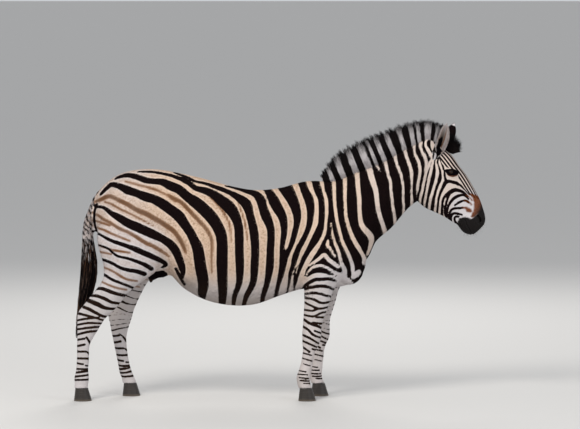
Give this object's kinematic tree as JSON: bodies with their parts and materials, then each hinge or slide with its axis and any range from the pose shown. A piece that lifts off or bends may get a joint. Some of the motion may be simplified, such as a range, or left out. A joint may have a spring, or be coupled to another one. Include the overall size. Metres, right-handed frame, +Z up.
{
  "type": "plains zebra model",
  "caption": "Life-size plains zebra stallion standing still on level hooves, head up: striped coat, upright mane, tufted tail, parted at head, neck, trunk, tail, ears, eyes and legs.",
  "frame": {"origin": "on the ground under the middle of the animal's bounding box", "axes": "+X towards the nose, +Y to the animal's left, +Z up"},
  "size_m": [2.4716, 0.5866, 1.6831],
  "materials": {
    "coat": "short hair, matt to satin",
    "mane_hair": "stiff hair, matt, banded pale and dark",
    "tail_hair_pale": "short hair with small dark bars",
    "tail_hair_dark": "long hair, satin",
    "eye": "wet gloss",
    "hoof_horn": "satin, finely ridged"
  },
  "bodies": {
    "root": {"ear_L": "coat", "ear_R": "coat", "eye_L": "eye", "eye_R": "eye", "fore_hoof_L": "hoof_horn", "fore_hoof_R": "hoof_horn", "fore_lower_L": "coat", "fore_lower_R": "coat", "fore_upper_L": "coat", "fore_upper_R": "coat", "forelock": "mane_hair", "head": "coat", "hind_hoof_L": "hoof_horn", "hind_hoof_R": "hoof_horn", "hind_lower_L": "coat", "hind_lower_R": "coat", "hind_upper_L": "coat", "hind_upper_R": "coat", "mane": "mane_hair", "neck": "coat", "tail_dock": "tail_hair_pale", "tail_tuft": "tail_hair_dark", "trunk": "coat"}
  },
  "joints": []
}
